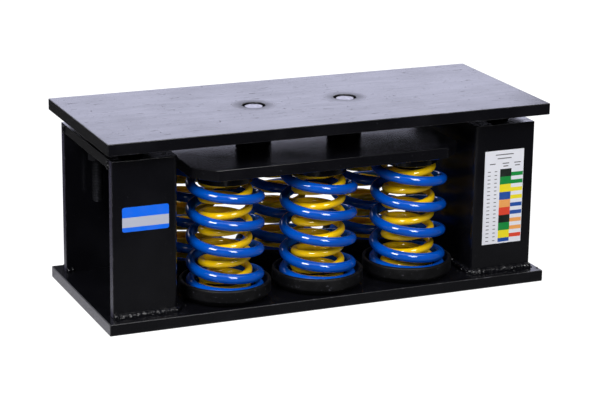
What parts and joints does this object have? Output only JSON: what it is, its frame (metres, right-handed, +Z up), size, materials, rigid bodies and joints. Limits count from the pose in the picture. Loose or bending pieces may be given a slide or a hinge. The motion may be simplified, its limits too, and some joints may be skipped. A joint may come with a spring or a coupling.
{
  "type": "spring vibration isolator",
  "caption": "Restrained spring isolator: nested coil springs in rubber cups carry a pressure plate and a levelled top plate between welded end channels.",
  "frame": {"origin": "bottom centre of the base plate", "axes": "+X along the length, towards the end with the chart; -Y is the front; +Z up"},
  "size_m": [0.5, 0.206, 0.202],
  "materials": {
    "black_enamel": "gloss enamel",
    "weld_bead": "painted weld",
    "seat_enamel": "satin enamel",
    "black_rubber": "moulded, matte",
    "blue_coating": "gloss powder coat",
    "yellow_coating": "gloss powder coat",
    "zinc_steel": "zinc plated",
    "blue_label": "printed film",
    "white_label": "printed film"
  },
  "bodies": {
    "base": {"base_plate": "black_enamel", "left_channel": "black_enamel", "right_channel": "black_enamel", "left_cap_plate": "black_enamel", "right_cap_plate": "black_enamel", "left_base_weld": "weld_bead", "right_base_weld": "weld_bead", "snubber_bushes": "black_rubber", "left_tag": "blue_label", "right_chart": "white_label", "base_cup_front_left": "black_rubber", "base_cup_front_middle": "black_rubber", "base_cup_front_right": "black_rubber", "base_cup_rear_left": "black_rubber", "base_cup_rear_middle": "black_rubber", "base_cup_rear_right": "black_rubber", "outer_spring_front_left": "blue_coating", "outer_spring_front_middle": "blue_coating", "outer_spring_front_right": "blue_coating", "outer_spring_rear_left": "blue_coating", "outer_spring_rear_middle": "blue_coating", "outer_spring_rear_right": "blue_coating", "inner_spring_front_left": "yellow_coating", "inner_spring_front_middle": "yellow_coating", "inner_spring_front_right": "yellow_coating", "inner_spring_rear_left": "yellow_coating", "inner_spring_rear_middle": "yellow_coating", "inner_spring_rear_right": "yellow_coating"},
    "pressure_plate": {"pressure_plate": "black_enamel", "top_seat_front_left": "seat_enamel", "top_seat_front_middle": "seat_enamel", "top_seat_front_right": "seat_enamel", "top_seat_rear_left": "seat_enamel", "top_seat_rear_middle": "seat_enamel", "top_seat_rear_right": "seat_enamel"},
    "left_bolt": {"left_levelling_bolt": "zinc_steel"},
    "right_bolt": {"right_levelling_bolt": "zinc_steel"},
    "top_plate": {"top_plate": "black_enamel", "left_lock_nut": "zinc_steel", "right_lock_nut": "zinc_steel", "restraint_studs": "zinc_steel", "rebound_pads": "black_rubber", "rebound_washers": "zinc_steel", "rebound_nuts": "zinc_steel"}
  },
  "joints": [
    {"name": "spring_travel", "type": "slide", "parent": "base", "child": "pressure_plate", "axis": [0, 0, 1], "range_m": [-0.005, 0.003], "stiffness_N_per_m": 729000, "springref_m": 0.00025, "deforming": ["outer_spring_front_left", "outer_spring_front_middle", "outer_spring_front_right", "outer_spring_rear_left", "outer_spring_rear_middle", "outer_spring_rear_right", "inner_spring_front_left", "inner_spring_front_middle", "inner_spring_front_right", "inner_spring_rear_left", "inner_spring_rear_middle", "inner_spring_rear_right"]},
    {"name": "left_bolt_turn", "type": "hinge", "parent": "pressure_plate", "child": "left_bolt", "pos_m": [-0.05325, 0, 0.162], "axis": [0, 0, -1], "range_deg": [0, 720]},
    {"name": "right_bolt_turn", "type": "hinge", "parent": "pressure_plate", "child": "right_bolt", "pos_m": [0.05325, 0, 0.162], "axis": [0, 0, -1], "range_deg": [0, 720]},
    {"name": "level_adjust", "type": "slide", "parent": "pressure_plate", "child": "top_plate", "axis": [0, 0, 1], "range_m": [0, 0.006]}
  ],
  "couplings": [
    {"joint": "right_bolt_turn", "follows": "left_bolt_turn", "ratio": 1},
    {"joint": "level_adjust", "follows": "left_bolt_turn", "m_per_rad": 0.0004774}
  ]
}
